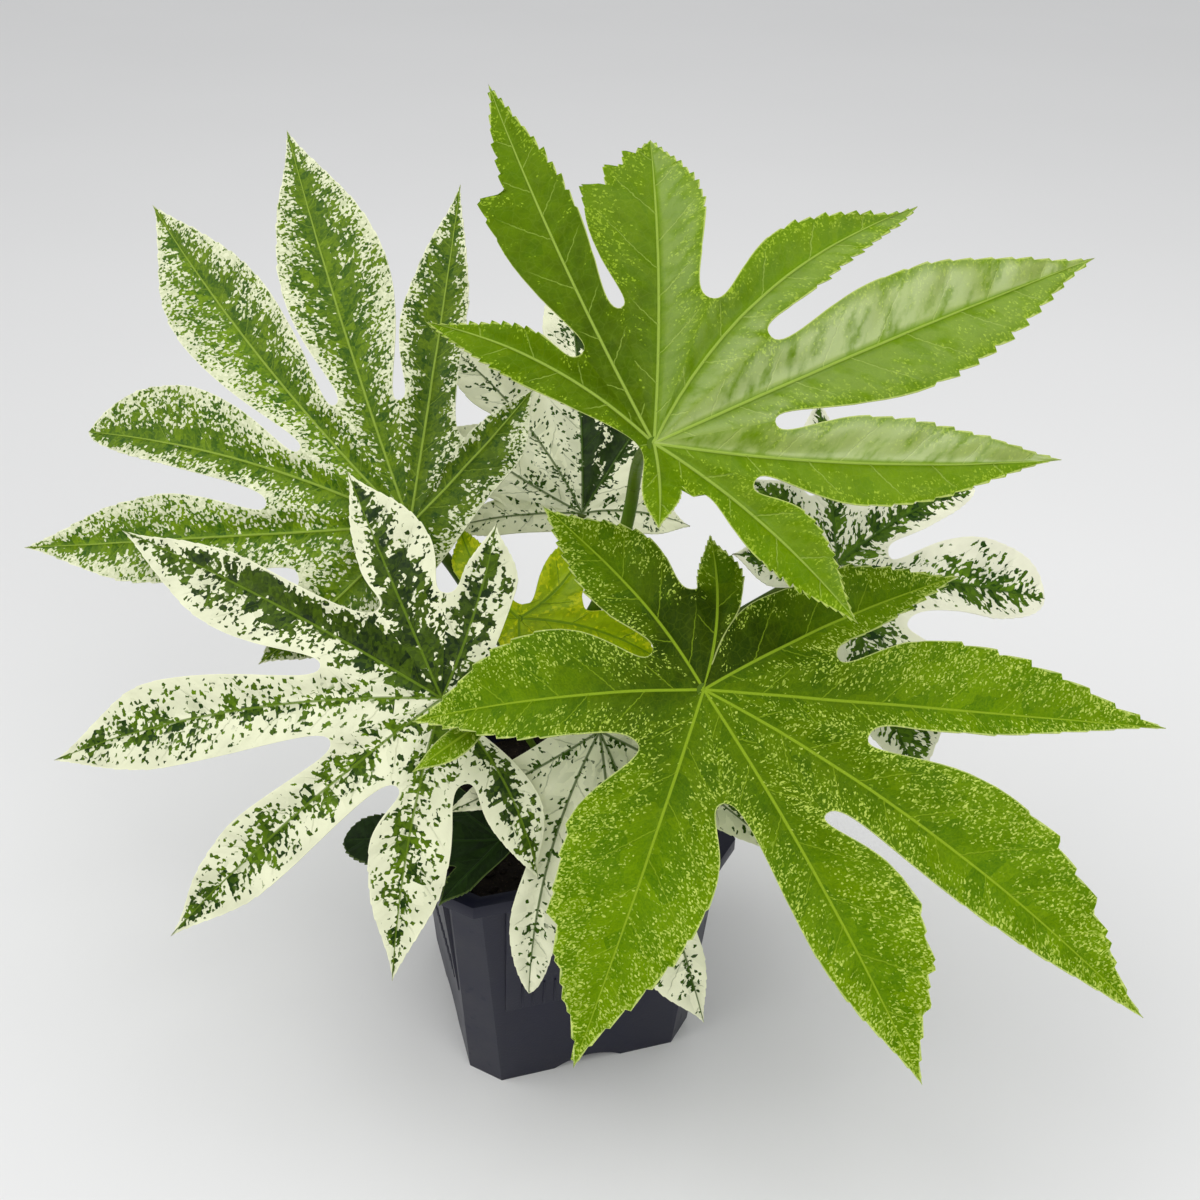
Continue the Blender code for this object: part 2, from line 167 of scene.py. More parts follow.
class Graph:
    """The nodes of one material."""

    def __init__(self, name: str) -> None:
        """Starts a material with its one shader.

        Args:
            name: The material's name.
        """
        self.material = bpy.data.materials.new(name)
        self.material.use_nodes = True
        self.nodes = self.material.node_tree.nodes
        self.links = self.material.node_tree.links
        self.shader = self.nodes["Principled BSDF"]

    def node(self, kind: str, settings: dict, sockets: dict, output: int | str = 0) -> Wire:
        """Adds one node.

        Args:
            kind: The node's type.
            settings: Properties, set first.
            sockets: Values or wires for its sockets, by name or place.
            output: Which of its outputs is wanted.

        Returns:
            That output.
        """
        made = self.nodes.new(kind)
        for key, value in settings.items():
            setattr(made, key, value)
        for key, value in sockets.items():
            self.plug(made.inputs[key], value)
        return Wire(self, made.outputs[output])

    def plug(self, socket: bpy.types.NodeSocket, value: "Wire | float | Colour") -> None:
        """Links a wire to a socket, or sets its value.

        Args:
            socket: The socket.
            value: What it gets.
        """
        if isinstance(value, Wire):
            self.links.new(value.socket, socket)
        elif socket.type == "RGBA" and len(value) == 3:
            socket.default_value = (*value, 1.0)
        else:
            socket.default_value = value

    def attribute(self, name: str) -> Wire:
        """Reads one of the piece's own numbers."""
        return self.node("ShaderNodeAttribute", {"attribute_name": name}, {}, "Fac")

    def vector(self, x: Wire | float, y: Wire | float, z: Wire | float) -> Wire:
        """Puts three values together."""
        return self.node("ShaderNodeCombineXYZ", {}, {"X": x, "Y": y, "Z": z})

    def place(self) -> Wire:
        """Reads the point's place on the piece."""
        return self.node("ShaderNodeTexCoord", {}, {}, "Object")

    def noise(self, place: Wire, scale: float, detail: float = 2.0) -> Wire:
        """Gives smooth noise about 0.5, with scale cells in one unit and detail finer layers."""
        return self.node("ShaderNodeTexNoise", {}, {"Vector": place, "Scale": scale, "Detail": detail})

    def cells(self, place: Wire) -> tuple[Wire, Wire]:
        """Gives two random numbers for each cell of unit size.

        Args:
            place: Where the cells are read.

        Returns:
            Two numbers from 0 to 1.
        """
        colour = self.node("ShaderNodeTexVoronoi", {}, {"Vector": place, "Scale": 1.0}, "Color")
        split = self.nodes.new("ShaderNodeSeparateColor")
        self.links.new(colour.socket, split.inputs[0])
        return Wire(self, split.outputs[0]), Wire(self, split.outputs[1])

    def net(self, place: Wire) -> Wire:
        """Gives the distance to the border of cells of unit size."""
        settings = {"feature": "DISTANCE_TO_EDGE"}
        return self.node("ShaderNodeTexVoronoi", settings, {"Vector": place, "Scale": 1.0})

    def mix(self, share: Wire | float, low: Wire | Colour, high: Wire | Colour) -> Wire:
        """Blends two colours, with this share of the second."""
        return self.node("ShaderNodeMix", {"data_type": "RGBA"}, {0: share, 6: low, 7: high}, 2)

    def tint(self, colour: Wire, share: Wire | float) -> Wire:
        """Multiplies a colour by a number."""
        sockets = {0: colour, 1: self.vector(share, share, share)}
        return self.node("ShaderNodeVectorMath", {"operation": "MULTIPLY"}, sockets)

    def bump(self, height: Wire, distance: float, strength: float) -> Wire:
        """Turns a height into a normal, where a height of 1 stands out by the distance in metres."""
        sockets = {"Height": height, "Distance": distance, "Strength": strength}
        return self.node("ShaderNodeBump", {}, sockets, "Normal")

    def finish(self, **sockets: "Wire | float | Colour") -> bpy.types.Material:
        """Plugs the shader's sockets, whose spaces are written as underscores.

        Args:
            sockets: A value or wire for each socket.

        Returns:
            The material.
        """
        for key, value in sockets.items():
            self.plug(self.shader.inputs[key.replace("_", " ")], value)
        return self.material


@dataclass(frozen=True)
class MottledFinish:
    """A surface that drifts between two colours and has spots of a third.

    drift, spots and grain are noises, by scale and detail. Spots lie where their noise passes the
    levels, the grain stands out by height millimetres, and a worn surface is rougher at its spots.
    """

    name: str
    low: Colour
    high: Colour
    spot: Colour
    drift: tuple[float, float]
    spots: tuple[float, float]
    levels: tuple[float, float]
    share: float
    grain: tuple[float, float]
    height: float
    strength: float
    roughness: float
    gloss: float
    worn: bool = False

    def build(self) -> bpy.types.Material:
        """Makes the material.

        Returns:
            The material.
        """
        g = Graph(self.name)
        place = g.place()
        drift = g.noise(place, *self.drift)
        spots = g.noise(place, *self.spots).rise(*self.levels)
        colour = g.mix(spots * self.share, g.mix(drift, self.low, self.high), self.spot)
        rough = self.roughness
        if self.worn:
            rough = rough + (drift - 0.5) * 0.2 + spots * 0.12
        normal = g.bump(g.noise(place, *self.grain), self.height * MM, self.strength)
        return g.finish(Base_Color=colour, Roughness=rough, Normal=normal, Specular_IOR_Level=self.gloss)


PLASTIC = MottledFinish(
    name="dark slate moulded plastic", low=paint(20, 21, 38), high=paint(31, 32, 52),
    spot=paint(70, 72, 84), drift=(60.0, 4.0), spots=(220.0, 3.0), levels=(0.62, 0.75), share=0.2,
    grain=(1400.0, 2.0), height=0.1, strength=0.5, roughness=0.42, gloss=0.27, worn=True)
DAMP_SOIL = MottledFinish(
    name="dark potting soil", low=paint(14, 12, 11), high=paint(44, 36, 30), spot=paint(92, 76, 60),
    drift=(160.0, 3.0), spots=(900.0, 4.0), levels=(0.62, 0.72), share=0.5, grain=(900.0, 4.0),
    height=0.6, strength=0.9, roughness=0.95, gloss=0.2)
BARK = MottledFinish(
    name="green woody bark", low=paint(84, 100, 38), high=paint(126, 128, 74),
    spot=paint(158, 148, 112), drift=(300.0, 3.0), spots=(800.0, 2.0), levels=(0.58, 0.68), share=0.6,
    grain=(300.0, 3.0), height=0.3, strength=0.5, roughness=0.6, gloss=0.4)

STALK = paint(98, 114, 40)
DIAGONAL = 0.71
OTHER_HALF = 41.0


@dataclass(frozen=True)
class LeafFinish:
    """Colours and markings of one kind of leaf surface.

    A blade is cream covered by small green cells, which gather in larger patches. The three
    numbers of cover say how green it is beside the midrib, half way out and at the edge, clump
    how much the patches count, dots how many cells are green besides, heart how much painted shade
    darkens it where the ribs meet, and shine how glossy its shining halves are, which a painted
    highlight pales to the glint colour.
    Sizes are in millimetres.
    """

    name: str
    green: Colour
    deep: Colour
    cream: Colour
    rib: Colour
    hem_and_rim_light: Colour
    cover: tuple[float, float, float]
    tip_loss: float = 0.0
    cell: float = 1.0
    patch: float = 4.5
    stretch: float = 1.5
    clump: float = 0.5
    dots: float = 0.0
    heart: float = 0.0
    blur: float = 0.0
    shades: float = 0.9
    margin: float = 0.0
    veins: float = 0.3
    net: float = 0.1
    pucker: float = 0.9
    roughness: float = 0.45
    gloss: float = 0.12
    shine: float = 0.0
    glint: Colour = (0.45, 0.52, 0.15)

    def build(self) -> bpy.types.Material:
        """Makes the leaf's material.

        Returns:
            The material.
        """
        g = Graph(f"{self.name} leaf surface")
        along, across, share = g.attribute("along"), g.attribute("across"), g.attribute("share")
        edge, past, seed = g.attribute("edge"), g.attribute("past"), g.attribute("seed")
        under, stalk, dusk = g.attribute("under"), g.attribute("stalk"), g.attribute("dusk")
        out = abs(across)
        flat = g.vector(along, across, seed)
        stir = g.noise(flat, 0.6) - 0.5
        broad = g.noise(flat, 0.08) - 0.5
        half = seed + across.above(0.0) * OTHER_HALF
        ply = (along - out) * DIAGONAL + stir * 1.5
        run = (along + out) * DIAGONAL - stir * 1.5
        small_draw, small_tone = g.cells(g.vector(ply / self.cell, run / (self.cell * self.stretch), half))
        large_draw, large_tone = g.cells(g.vector(ply / self.patch, run / (self.patch * self.stretch), half))

        reach = share + broad * 0.5
        inner, middle, outer = self.cover
        cover = reach.rise(0.0, 0.5) * (middle - inner) + reach.rise(0.5, 1.0) * (outer - middle) + inner
        # Where dusk is set the lobe gets more green marks, and its green is darkened as painted shade, most
        # near the junction.
        greening_and_shade_amount = dusk * (1.15 - past * 0.85) * (0.45 + g.noise(flat, 0.22, 3.0) * 1.1)
        cover = cover + greening_and_shade_amount * 0.25 + (greening_and_shade_amount - 0.35).most(0.0) * 1.6
        cover = cover - past.rise(0.4, 1.0) * self.tip_loss
        draw = small_draw * (1.0 - self.clump) + large_draw * self.clump
        is_green = (cover - draw).rise(-0.02, 0.02)
        if self.dots > 0:
            spread = (1.0 - reach.rise(0.7, 1.1) * 0.8) * self.dots
            is_green = is_green.most((spread - small_draw).rise(-0.01, 0.01))
        if self.margin > 0:
            is_green = is_green * edge.rise(self.margin * 0.4, self.margin)

        # Painted shade: the green darkens where the ribs meet, the more so on lobes with dusk; the noise is
        # random tone.
        painted_heart_shade = (1.0 - past.rise(-0.1, 0.3)) * (1.0 + dusk * 2.0) * self.heart
        mottle_and_painted_shade = (0.88 + g.noise(flat, 0.25) * 0.24 - painted_heart_shade - greening_and_shade_amount * 0.8).most(0.25)
        tone = 1.0 - (small_tone * 0.45 + large_tone * 0.55) * self.shades
        green = g.tint(g.mix(tone, self.deep, self.green), mottle_and_painted_shade)
        ghost = large_tone.rise(0.45, 0.9) * (1.0 - share) * 0.24 + small_tone * self.blur
        pale = g.tint(g.mix(ghost, self.cream, self.green), 0.96 + broad * 0.3)
        marked = g.mix(is_green, pale, green)

        phase = (along - out * VEIN_SLOPE - out * out * 0.008 + stir * 1.4) / VEIN_SPACING
        vein_gap = abs((phase + across.above(0.0) * 0.5).part() - 0.5) * VEIN_SPACING
        vein_line = vein_gap.rise(0.38, 0.12) * share.rise(0.95, 0.55)
        rib_line = out.rise(0.60 - past * 0.42, 0.24 - past * 0.19)
        lines = vein_line * self.veins
        if self.net > 0:
            net_line = g.net(g.vector(along * 0.32, across * 0.32, seed)).rise(0.07, 0.0)
            lines = lines.most(net_line * self.net)
        ribbed = g.mix((rib_line * 0.85).most(lines), marked, self.rib)
        # A pale line along every edge: partly the margin's own paler colour, partly painted light for the
        # lit rim of the blade.
        hemmed_and_rim_lit = g.mix(edge.rise(0.42, 0.12) * 0.6, ribbed, self.hem_and_rim_light)
        faded = g.mix(under * 0.45, hemmed_and_rim_lit, g.mix(0.5, self.green, self.cream))
        if self.shine > 0:
            # Painted highlight: on the shining halves the colour is paled in streaks towards the glint
            # colour; the coat weight adds the real gloss.
            streaks = g.noise(g.vector(ply * 0.3, run * 0.09, half), 1.0, 3.0).rise(0.22, 0.56)
            sheen = g.attribute("sheen") * share.rise(0.0, 0.15) * (1.0 - share.rise(0.7, 1.0) * 0.6)
            sheen = sheen * streaks * self.shine
            faded = g.mix(sheen * 0.55, faded, self.glint)
            g.finish(Coat_Weight=sheen, Coat_Roughness=0.3, Coat_IOR=1.7)
        colour = g.mix(stalk, faded, g.mix(g.noise(flat, 0.3), STALK, self.deep))

        puffs = g.noise(g.vector(ply * 0.26, run * 0.12, half), 1.0, 1.0)
        crinkle = g.noise(flat, 0.8, 2.0)
        height = puffs + crinkle * 0.12 - vein_line * 0.25 + rib_line * 0.3
        rough = self.roughness + (crinkle - 0.5) * 0.16 + under * 0.18
        return g.finish(Base_Color=colour, Roughness=rough, Specular_IOR_Level=self.gloss,
                        Normal=g.bump(height, self.pucker * MM, 0.6))


LEAF_CREAM = paint(232, 234, 200)
CREAM_HEM = paint(240, 242, 206)
FLECKED = LeafFinish(
    name="flecked green", green=paint(108, 140, 0), deep=paint(58, 100, 0), cream=paint(190, 208, 96),
    rib=paint(140, 168, 36), hem_and_rim_light=paint(210, 222, 136), cover=(0.95, 0.78, 0.67), tip_loss=0.24,
    cell=0.36, stretch=1.7, clump=0.14, heart=0.34, blur=0.9, shades=0.8, veins=0.5, net=0.06,
    gloss=0.04)
GLOSSY = LeafFinish(
    name="glossy green", green=paint(106, 138, 0), deep=paint(72, 112, 0), cream=paint(150, 178, 46),
    rib=paint(152, 178, 72), hem_and_rim_light=paint(206, 218, 126), cover=(1.02, 0.84, 0.72), tip_loss=0.12,
    cell=0.38, clump=0.16, heart=0.1, blur=0.75, shades=0.55, veins=0.55, net=0.06,
    pucker=1.0, roughness=0.40, gloss=0.04, shine=0.9, glint=paint(180, 194, 106))
SPECKLED = LeafFinish(
    name="speckled", green=paint(108, 136, 8), deep=paint(44, 80, 0), cream=LEAF_CREAM,
    rib=paint(142, 168, 60), hem_and_rim_light=CREAM_HEM, cover=(0.98, 0.66, 0.33), cell=0.7, patch=3.2,
    stretch=1.4, clump=0.30, dots=0.22, blur=0.3, shades=1.1, veins=0.35, net=0.06)
MARBLED = LeafFinish(
    name="marbled cream", green=paint(92, 122, 8), deep=paint(26, 50, 4), cream=LEAF_CREAM,
    rib=paint(96, 124, 20), hem_and_rim_light=CREAM_HEM, cover=(0.64, 0.46, 0.06), cell=1.05, patch=4.4,
    stretch=1.25, clump=0.49, dots=0.13, margin=1.0, shades=1.25, veins=0.15, net=0.0,
    pucker=1.5)
DARK_HEART = LeafFinish(
    name="dark hearted", green=paint(92, 126, 18), deep=paint(26, 56, 2), cream=paint(248, 247, 222),
    rib=paint(66, 98, 20), hem_and_rim_light=paint(250, 249, 226), cover=(0.74, 0.50, 0.02), cell=0.85, patch=3.8,
    stretch=2.3, clump=0.36, dots=0.08, margin=1.5, shades=1.15, veins=0.1, net=0.0, pucker=1.4)
WHITE_VEINED = LeafFinish(
    name="white veined", green=paint(66, 98, 14), deep=paint(26, 52, 4), cream=paint(244, 245, 212),
    rib=paint(64, 92, 22), hem_and_rim_light=CREAM_HEM, cover=(0.34, 0.16, 0.07), cell=0.85, patch=3.6,
    clump=0.42, dots=0.05, margin=0.8, veins=0.35, net=0.0, pucker=1.4)
YOUNG = LeafFinish(
    name="young", green=paint(168, 192, 0), deep=paint(104, 142, 0), cream=paint(218, 224, 20),
    rib=paint(106, 142, 8), hem_and_rim_light=paint(186, 200, 70), cover=(0.95, 0.6, 0.4), cell=0.8, patch=3.4,
    blur=0.9, shades=0.7, veins=0.6, roughness=0.40, gloss=0.15)
SHADED = LeafFinish(
    name="shaded", green=paint(34, 58, 14), deep=paint(12, 28, 6), cream=paint(90, 110, 50),
    rib=paint(44, 70, 22), hem_and_rim_light=paint(100, 120, 60), cover=(1.1, 1.0, 0.9), blur=0.5)


class Hand(Enum):
    """A side of a midrib, for someone looking from the junction to the tip."""

    LEFT = 1
    RIGHT = -1


@dataclass(frozen=True)
class Spur:
    """A coarse tooth on one side of a lobe: where it stands from belly to tip, and its size.

    One of negative size and width is the notch that a hooked tooth leaves in front of it.
    """

    hand: Hand
    part: float
    size: float
    width: float = 0.14
    lean: float = 0.5


@dataclass(frozen=True)
class Lobe:
    """One lobe of a blade and the sinus on its anticlockwise side.

    teeth, dusk and sheen are for its left and its right half: how large its teeth are, how much
    more green marking it has than its leaf while painted shade darkens its green, and how much it
    shines, with a painted highlight.
    """

    turn: float
    reach: float
    left: float
    right: float
    sway: float
    sinus: tuple[float, float]
    belly: float = 0.58
    lift: float = 0.0
    blunt: float = 0.0
    teeth: tuple[float, float] = (1.0, 1.0)
    dusk: tuple[float, float] = (0.0, 0.0)
    sheen: tuple[float, float] = (0.0, 0.0)
    spurs: tuple[Spur, ...] = ()


@dataclass(frozen=True)
class LeafForm:
    """Where a leaf's ribs meet, how it faces, its lobes, its petiole and its finish.

    foot_level is where the petiole leaves the stem, thick its radius, and route its curve's two
    controls where they are given. droop bends the blade down, fold raises its halves, wave is
    how high they wave, tooth how large the teeth are, and tooth_rows how many rows each one takes.
    """

    name: str
    joint: Place
    facing: tuple[float, float]
    droop: float
    foot_level: float
    thick: float
    finish: LeafFinish
    lobes: tuple[Lobe, ...]
    route: tuple[Place, ...] = ()
    slit: bool = False
    tooth: float = 0.5
    tooth_rows: int = 6
    fold: float = 0.10
    wave: float = 0.7


LEAVES = (
    LeafForm("leaf_front_right", (23, -76, 193), (-28, 50), 1.0, 117, 2.3, FLECKED, (
        Lobe(-174, 48, 6, 8, -3, (-167, 31), 0.70, 4, dusk=(0.4, 0.4)),
        Lobe(-131, 75, 11, 15, -4, (-117, 19), 0.58, 11, dusk=(0.3, 0.35)),
        Lobe(-77, 89, 12, 21, -2, (-42, 25), 0.50, dusk=(0.2, 0.2)),
        Lobe(-11, 112, 21, 24, 1, (18, 34), 0.47, teeth=(0.7, 0.9), spurs=(
            Spur(Hand.RIGHT, -0.02, 2.2), Spur(Hand.RIGHT, 0.30, 2.4), Spur(Hand.RIGHT, 0.50, 1.6),
            Spur(Hand.RIGHT, 0.66, 1.2))),
        Lobe(37, 123, 21, 11, 2, (52, 50), 0.62, teeth=(0.7, 0.3), spurs=(
            Spur(Hand.LEFT, 0.10, 1.3), Spur(Hand.LEFT, 0.38, 2.2), Spur(Hand.LEFT, 0.56, 1.6))),
        Lobe(62, 150, 22, 11, 5, (81, 49), teeth=(0.8, 0.35), spurs=(
            Spur(Hand.LEFT, 0.22, 1.8), Spur(Hand.LEFT, 0.48, 2.4), Spur(Hand.LEFT, 0.64, 1.6))),
        Lobe(95, 134, 20, 7, -1, (112, 40), 0.50, teeth=(1.0, 0.3)),
        Lobe(124, 84, 15, 7, 2, (171, 8), 0.55, dusk=(0.35, 0.1)),
    ), slit=True, tooth=1.5, tooth_rows=7),
    LeafForm("leaf_top", (13, -51, 262), (-25, 38), 1.0, 153, 2.2, GLOSSY, (
        Lobe(-173, 92, 17, 14, -2, (-161, 40), 0.74, 0, 0.2, dusk=(0.2, 0.0), sheen=(0.05, 0.3), spurs=(
            Spur(Hand.LEFT, 0.22, 6.0, 0.5), Spur(Hand.LEFT, 0.50, 4.0, 0.2), Spur(Hand.LEFT, 0.72, 3.0))),
        Lobe(-150, 126, 13, 10, 2, (-136, 33), teeth=(0.8, 1.0), dusk=(0.4, 0.4), spurs=(
            Spur(Hand.LEFT, 0.21, 3.6, 0.40, 0.7), Spur(Hand.LEFT, 0.27, -3.4, -0.40, 0.9))),
        Lobe(-114, 77, 8, 7, -5, (-60, 4), dusk=(0.3, 0.3)),
        Lobe(9, 24, 6, 5, 1, (43, 19), 0.55, dusk=(0.1, 0.1)),
        Lobe(54, 75, 10, 8, 3, (74, 30), sheen=(0.1, 0.0)),
        Lobe(94, 113, 13, 12, -4, (105, 34), 0.52, teeth=(0.7, 0.5), sheen=(1.0, 0.05)),
        Lobe(120, 137, 17, 17, 0, (138, 44), 0.56, teeth=(0.7, 1.2), sheen=(1.0, 0.25)),
        Lobe(139, 102, 12, 8, 10, (165, 44), 0.62, sheen=(0.05, 0.25)),
    ), route=((30, -14, 219), (23, 13, 223)), tooth=1.4, tooth_rows=5, fold=0.16),
    LeafForm("leaf_upper_left", (-45, 28, 201), (-24, 42), 0.6, 134, 2.3, SPECKLED, (
        Lobe(-155, 164, 17, 22, 1, (-142, 50), 0.58),
        Lobe(-135, 164, 19, 17, 4, (-119, 47), 0.65, dusk=(-0.3, 0.0)),
        Lobe(-102, 125, 8, 21, -5, (-93, 50), 0.72, 0, 0.7, dusk=(-0.08, -0.08)),
        Lobe(-83, 141, 15, 16, 1, (-61, 41), 0.62, dusk=(-0.2, -0.2)),
        Lobe(-42, 69, 13, 12, 2, (10, 22), 0.62),
        Lobe(145, 63, 7, 13, -1, (155, 35), 0.60, dusk=(0.28, 0.28)),
        Lobe(180, 128, 14, 9, -1, (-168, 44), 0.56, dusk=(0.25, 0.25)),
    ), tooth=0.6),
    LeafForm("leaf_front_left", (-46, -27, 168), (-22, 41), 1.4, 126, 2.2, MARBLED, (
        Lobe(-151, 85, 8, 17, 0, (-138, 36), 0.58, dusk=(0.36, 0.36)),
        Lobe(-113, 129, 16, 9, -2, (-100, 41), 0.62, 6, dusk=(0.2, 0.45)),
        Lobe(-78, 139, 14, 15, -6, (-65, 38), 0.68, dusk=(-0.25, -0.35)),
        Lobe(-46, 119, 12, 12, -2, (-23, 31), 0.66, dusk=(-0.2, -0.2)),
        Lobe(-6, 90, 14, 12, -2, (20, 28), 0.55, dusk=(-0.1, -0.1)),
        Lobe(33, 64, 8, 10, 5, (70, 8), 0.64, dusk=(0.2, 0.2)),
        Lobe(169, 60, 7, 11, -2, (-177, 34), 0.66, dusk=(0.36, 0.36)),
    ), tooth=0.35, wave=1.1),
    LeafForm("leaf_back", (18, 37, 192), (-10, 55), 0.5, 141, 2.1, WHITE_VEINED, (
        Lobe(-148, 94, 11, 14, -5, (-142, 45), 0.66),
        Lobe(-130, 60, 7, 13, 2, (-106, 38), 0.66),
        Lobe(-86, 50, 7, 7, -2, (28, 6)),
        Lobe(81, 39, 8, 8, 3, (121, 30)),
        Lobe(145, 91, 12, 12, 1, (164, 62), 0.66, dusk=(0.60, 0.42)),
        Lobe(179, 115, 12, 14, -2, (-168, 56), 0.68, dusk=(0.0, 0.58)),
    )),
    LeafForm("leaf_right", (83, -35, 203), (0, 48), 0.8, 127, 2.1, DARK_HEART, (
        Lobe(-146, 41, 7, 9, -1, (-124, 19)),
        Lobe(-104, 35, 10, 7, 0, (-38, 9), 0.60),
        Lobe(9, 76, 24, 12, -2, (41, 29), 0.54),
        Lobe(74, 75, 17, 10, 0, (91, 18), 0.68, 0, 0.9, dusk=(-0.3, 0.1)),
        Lobe(110, 61, 8, 7, 3, (154, 22), 0.60, 0, 0.7),
        Lobe(171, 60, 9, 6, 0, (-173, 24), 0.64),
    )),
    LeafForm("leaf_young_centre", (-15, -3, 178), (-17, 45), 0.8, 146, 1.5, YOUNG, (
        Lobe(-146, 38, 7, 6, 3, (-50, 10), 0.66),
        Lobe(3, 28, 7, 6, 0, (52, 17)),
        Lobe(74, 52, 8, 7, 4, (103, 22)),
        Lobe(144, 41, 9, 7, -4, (170, 5), 0.56),
    ), tooth=1.0),
    LeafForm("leaf_low_front", (1, -45, 159), (-15, 38), 1.0, 99, 1.9, WHITE_VEINED, (
        Lobe(-62, 56, 6, 6, 1, (-40, 30)),
        Lobe(-15, 86, 8, 8, -5, (-7, 22), 0.70, 0, 0.6),
        Lobe(5, 81, 8, 8, 1, (15, 34)),
        Lobe(20, 99, 6, 14, 2, (42, 40), 0.76),
        Lobe(56, 70, 9, 8, 3, (150, 9)),
    ), tooth=0.3),
    LeafForm("leaf_low_left", (-30, -37, 113), (-60, 72), 1.0, 97, 1.6, SHADED, (
        Lobe(-92, 52, 5, 6, 0, (-77, 30)),
        Lobe(-58, 59, 10, 11, 1, (-28, 21), 0.68, 0, 0.8),
        Lobe(0, 30, 5, 5, 0, (130, 5)),
    ), tooth=1.4),
    LeafForm("leaf_young_narrow", (-32, -46, 174), (-30, 50), 1.0, 107, 1.2, FLECKED, (
        Lobe(-98, 14, 3, 3, 0, (-72, 5)),
        Lobe(-45, 32, 5, 4, 0, (20, 3), 0.50),
        Lobe(120, 20, 4, 4, 0, (-170, 3)),
    )),
)


def polar(turn: float, reach: float) -> Vector:
    """Turns an angle and a length in millimetres into a point of the blade's plane."""
    angle = math.radians(turn)
    return Vector((math.cos(angle), math.sin(angle))) * reach * MM


def facing(azimuth: float, elevation: float) -> Vector:
    """Gives the direction at an azimuth and an elevation in degrees."""
    turn, rise = math.radians(azimuth), math.radians(elevation)
    return Vector((math.sin(turn) * math.cos(rise), -math.cos(turn) * math.cos(rise), math.sin(rise)))


def only(items: list, kind: type) -> list:
    """Keeps the items of one kind."""
    return [item for item in items if isinstance(item, kind)]


def curve(points: tuple, part: float) -> Vector:
    """Reads a cubic curve.

    Args:
        points: Its four control points.
        part: How far along, from 0 to 1.

    Returns:
        The point there.
    """
    a, b, c, d = points
    rest = 1.0 - part
    return a * rest ** 3 + b * (3 * rest * rest * part) + c * (3 * rest * part * part) + d * part ** 3


def smooth(value: float, low: float, high: float) -> float:
    """Climbs smoothly from 0 at low to 1 at high, held at its ends."""
    part = min(1.0, max(0.0, (value - low) / (high - low)))
    return part * part * (3 - 2 * part)


class Margin:
    """One edge of a lobe, from the junction along the sinus, round the belly and on to the tip."""

    def __init__(self, form: LeafForm, lobe: Lobe, sinus: tuple[float, float], hand: Hand) -> None:
        """Works out the two curves of the edge.

        Args:
            form: The leaf.
            lobe: The lobe.
            sinus: Turn and reach of the sinus on this side.
            hand: Which side of the midrib it is.
        """
        self.form = form
        self.lobe = lobe
        self.hand = hand
        sign = hand.value
        self.along = polar(lobe.turn, 1.0).normalized()
        self.across = Vector((-self.along.y, self.along.x)) * sign
        self.reach = lobe.reach * MM
        half = (lobe.left if sign > 0 else lobe.right) * MM
        self.sinus = polar(*sinus)
        self.sinus_reach = sinus[1] * MM
        tip = self.along * self.reach
        belly = self.along * (self.reach * lobe.belly) + self.across * half
        belly += self.across * (sign * lobe.sway * MM * 4 * lobe.belly * (1 - lobe.belly))
        start = self.sinus.normalized()
        inward = Vector((start.y, -start.x)) * sign
        first = (belly - self.sinus).length
        last = (tip - belly).length
        if form.slit and self.sinus_reach < NOTCH_REACH:
            leave = start * (SLIT_HANDLE * first) + inward * SLIT_HALF
        else:
            leave = inward * min(SINUS_ROUND, SINUS_HANDLE * first)
        arrive, depart = BELLY_HANDLES
        self.lower = (self.sinus, self.sinus + leave, belly - self.along * (arrive * first), belly)
        point = tip - self.along * (last * (TIP_BACK[0] + TIP_BACK[1] * lobe.blunt))
        point += self.across * half * (TIP_SIDE[0] + TIP_SIDE[1] * lobe.blunt)
        self.upper = (belly, belly + self.along * (depart * last), point, tip)

    def read(self, row: int) -> Vector:
        """Gives the edge's point on a row, before teeth.

        Args:
            row: The row.

        Returns:
            The point, in the blade's plane.
        """
        if row <= BASE_ROWS:
            return self.sinus * (row / BASE_ROWS)
        row -= BASE_ROWS
        if row <= SHOULDER_ROWS:
            return curve(self.lower, row / SHOULDER_ROWS)
        return curve(self.upper, (row - SHOULDER_ROWS) / TIP_ROWS)

    def tooth(self, row: int) -> Vector:
        """Gives how far a tooth or spur moves the edge on a row.

        Args:
            row: The row.

        Returns:
            The move, in the blade's plane.
        """
        step = row - FIRST_TOOTH_ROW
        tip_part = (row - BASE_ROWS - SHOULDER_ROWS) / TIP_ROWS
        own = (self.lobe.turn * 0.31, self.hand.value * 3.1)
        wobble = WOBBLE * noise.noise(Vector((row * 0.2, *own)))
        move = wobble * smooth(step, 0, 8) * (1.0 - smooth(tip_part, 0.7, 1.0))
        lean = 0.0
        if step > 0 and tip_part < TEETH_END:
            number, phase = divmod(step, self.form.tooth_rows)
            part = phase / (self.form.tooth_rows - 1)
            uneven = 0.9 + 1.1 * noise.noise(Vector((number * 1.7, *own)))
            grown = smooth(step, 0, 20) * (1.0 - 0.5 * max(0.0, tip_part))
            grown *= min(1.0, self.lobe.reach / FULL_TEETH_REACH)
            size = self.form.tooth * uneven * grown * self.lobe.teeth[0 if self.hand == Hand.LEFT else 1]
            move = size * (part ** 0.7 - 0.4)
            lean = size * part * part * 0.7
        for spur in self.lobe.spurs:
            back = (spur.part - tip_part) / spur.width
            if spur.hand == self.hand and -SPUR_FRONT < back < 1.0:
                rise = 1.0 - back if back >= 0 else 1.0 + back / SPUR_FRONT
                move += spur.size * rise
                lean += spur.size * spur.lean * rise
        return (self.across * move + self.along * lean) * MM


